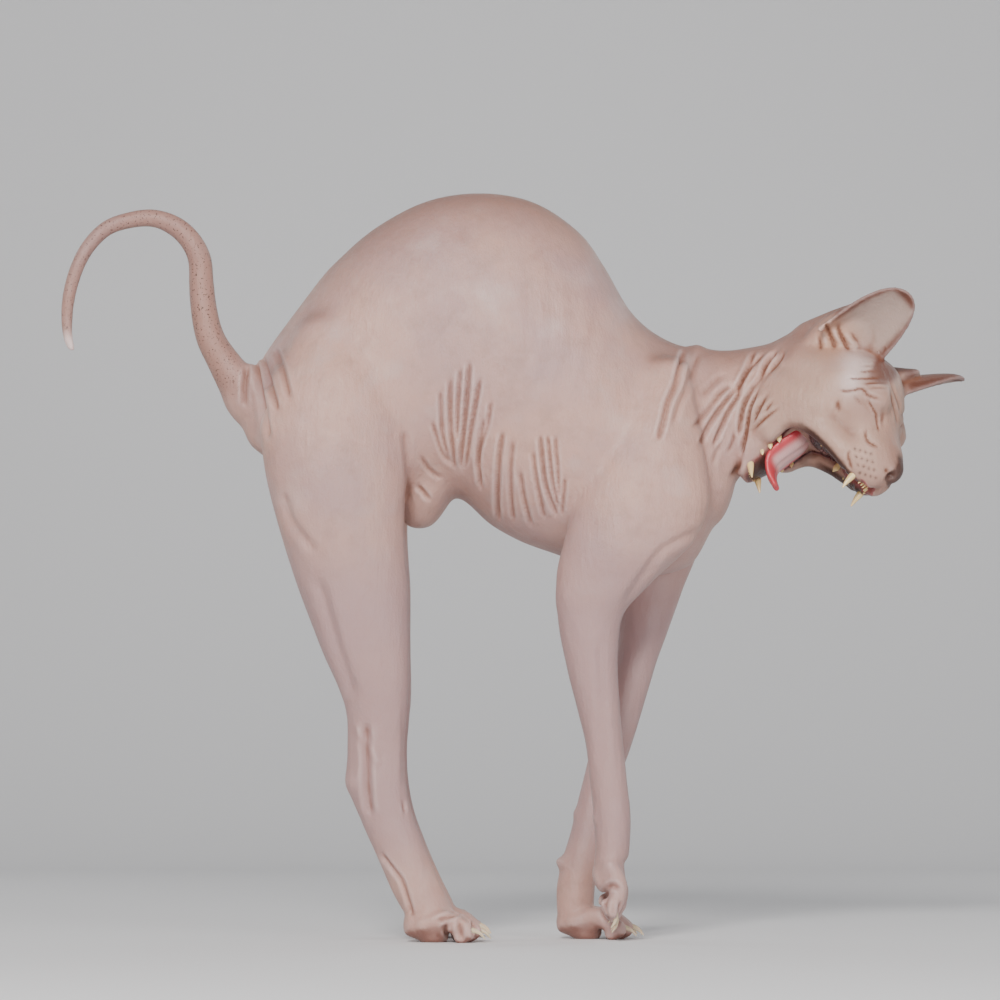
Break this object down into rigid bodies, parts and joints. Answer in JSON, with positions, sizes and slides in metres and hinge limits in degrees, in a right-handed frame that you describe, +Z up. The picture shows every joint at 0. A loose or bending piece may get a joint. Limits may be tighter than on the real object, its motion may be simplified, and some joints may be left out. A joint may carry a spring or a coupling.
{
  "type": "yawning sphynx cat figure",
  "caption": "Life-size still sphynx cat, hairless and wrinkled, back arched high, tail hooked, mouth wide open in a yawn, eyes shut, one forepaw lifted.",
  "frame": {"origin": "centre of the model's box, at the floor it stands on", "axes": "+X the way the cat walks, +Y to its left, +Z up"},
  "size_m": [0.4925, 0.1142, 0.4024],
  "materials": {
    "skin": "bare pinkish beige skin, matt with a faint warm sheen",
    "ear_skin": "thin bare ear skin, darker on the back and rim",
    "nose_leather": "damp grey-brown nose leather, finely pebbled",
    "tongue": "wet red tongue",
    "enamel": "cream-yellow tooth enamel, glossy",
    "claw_horn": "pale translucent claw horn"
  },
  "bodies": {
    "root": {"chest": "skin", "loin": "skin", "neck": "skin", "tail_1": "skin", "tail_2": "skin", "tail_3": "skin", "tail_4": "skin", "tail_5": "skin", "hind_right_thigh": "skin", "hind_right_shank": "skin", "hind_right_hock": "skin", "hind_right_paw": "skin", "claw_hind_right_1": "claw_horn", "claw_hind_right_2": "claw_horn", "claw_hind_right_3": "claw_horn", "claw_hind_right_4": "claw_horn", "hind_left_thigh": "skin", "hind_left_shank": "skin", "hind_left_hock": "skin", "hind_left_paw": "skin", "claw_hind_left_1": "claw_horn", "claw_hind_left_2": "claw_horn", "claw_hind_left_3": "claw_horn", "claw_hind_left_4": "claw_horn", "fore_right_arm": "skin", "fore_right_forearm": "skin", "fore_right_paw": "skin", "claw_fore_right_1": "claw_horn", "claw_fore_right_2": "claw_horn", "claw_fore_right_3": "claw_horn", "claw_fore_right_4": "claw_horn", "fore_left_arm": "skin", "fore_left_forearm": "skin", "fore_left_paw": "skin", "claw_fore_left_1": "claw_horn", "claw_fore_left_2": "claw_horn", "claw_fore_left_3": "claw_horn", "claw_fore_left_4": "claw_horn", "head": "skin", "jaw": "skin", "tongue": "tongue", "nose": "nose_leather", "ear_right": "ear_skin", "ear_left": "ear_skin", "eye_right": "skin", "eye_left": "skin", "canine_upper_right": "enamel", "canine_lower_right": "enamel", "canine_upper_left": "enamel", "canine_lower_left": "enamel"}
  },
  "joints": []
}
